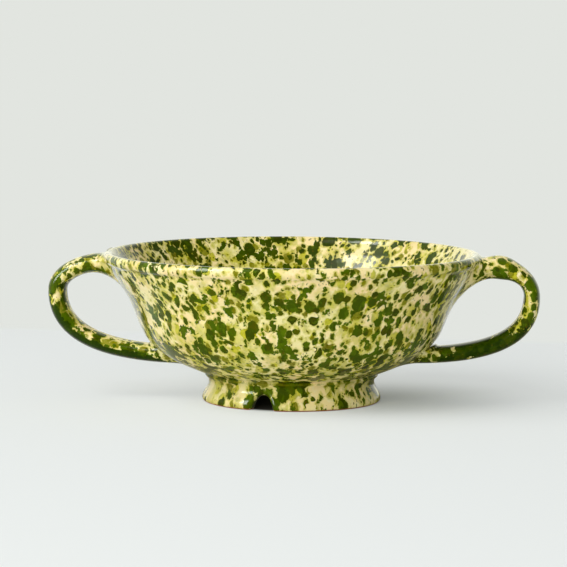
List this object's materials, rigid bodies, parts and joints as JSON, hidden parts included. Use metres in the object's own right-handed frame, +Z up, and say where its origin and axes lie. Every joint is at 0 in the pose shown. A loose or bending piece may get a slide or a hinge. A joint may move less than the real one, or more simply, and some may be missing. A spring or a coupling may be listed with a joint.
{
  "type": "colander",
  "caption": "Splatter-glazed earthenware colander: flared bowl with a perforated floor, loop strap handles and a foot ring cut by drain arches.",
  "frame": {"origin": "on the axis of the bowl, at the level of the foot's land", "axes": "+Z up along the axis of the bowl, +X through the right handle, -Y towards the viewer of the picture"},
  "size_m": [0.3451, 0.264, 0.1044],
  "materials": {
    "splatter_glaze": "glossy clear glaze over cream slip, splattered yellow-green and dark green"
  },
  "bodies": {
    "root": {"bowl": "splatter_glaze", "foot_ring": "splatter_glaze", "left_handle": "splatter_glaze", "right_handle": "splatter_glaze"}
  },
  "joints": []
}
